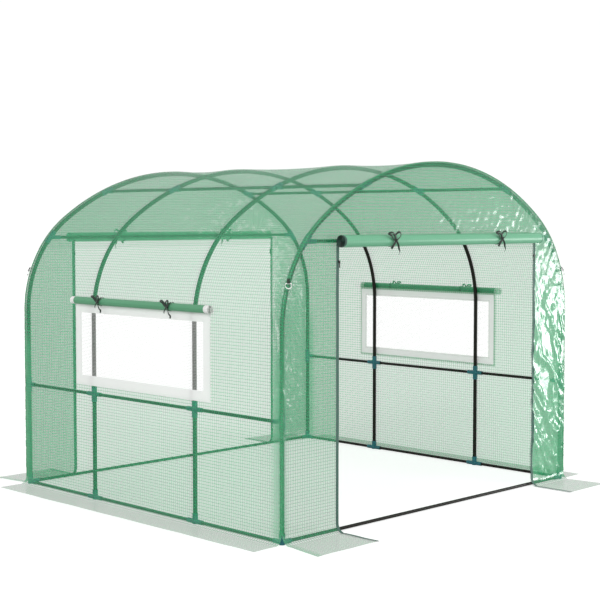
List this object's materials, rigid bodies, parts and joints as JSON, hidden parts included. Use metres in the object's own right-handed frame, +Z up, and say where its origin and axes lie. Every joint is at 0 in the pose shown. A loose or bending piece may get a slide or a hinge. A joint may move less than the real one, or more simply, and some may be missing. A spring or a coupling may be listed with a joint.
{
  "type": "polytunnel greenhouse",
  "caption": "Walk-in arched greenhouse: tube hoops under a grid-reinforced green film cover, an open doorway with a rolled-up door at each end and a netted window in each side.",
  "frame": {"origin": "on the ground, at the middle of the tunnel", "axes": "+Z up, the tunnel runs along Y with its front end facing -Y, +X to the right"},
  "size_m": [2.9786, 2.9486, 2.0322],
  "materials": {
    "tube": "dark powder-coated steel tube",
    "connector": "moulded teal plastic",
    "cover_film": "translucent green reinforced film",
    "film_roll": "rolled green reinforced film",
    "window_border": "white coated fabric",
    "window_mesh": "fine white netting",
    "zip_tape": "woven zip tape with coil",
    "tie_webbing": "dark green strap",
    "ring": "white moulded ring"
  },
  "bodies": {
    "root": {"door_ties": "tie_webbing", "door_zips": "zip_tape", "front_door_roll": "film_roll", "front_gable_panel": "cover_film", "front_ground_bar": "tube", "front_head_bar": "tube", "front_left_panel": "cover_film", "front_left_skirt": "cover_film", "front_right_panel": "cover_film", "front_right_skirt": "cover_film", "ground_connectors": "connector", "guy_rings": "ring", "head_connectors": "connector", "hoop_front": "tube", "hoop_middle_front": "tube", "hoop_middle_rear": "tube", "hoop_rear": "tube", "left_ground_rail": "tube", "left_middle_rail": "tube", "left_roof_rail": "tube", "left_skirt": "cover_film", "left_wall_cover": "cover_film", "left_window_border": "window_border", "left_window_mesh": "window_mesh", "left_window_roll": "film_roll", "middle_connectors": "connector", "rear_door_roll": "film_roll", "rear_gable_panel": "cover_film", "rear_ground_bar": "tube", "rear_head_bar": "tube", "rear_left_panel": "cover_film", "rear_left_skirt": "cover_film", "rear_right_panel": "cover_film", "rear_right_skirt": "cover_film", "right_ground_rail": "tube", "right_middle_rail": "tube", "right_roof_rail": "tube", "right_skirt": "cover_film", "right_wall_cover": "cover_film", "right_window_border": "window_border", "right_window_mesh": "window_mesh", "right_window_roll": "film_roll", "roof_connectors": "connector", "roof_cover": "cover_film", "window_ties": "tie_webbing"}
  },
  "joints": []
}
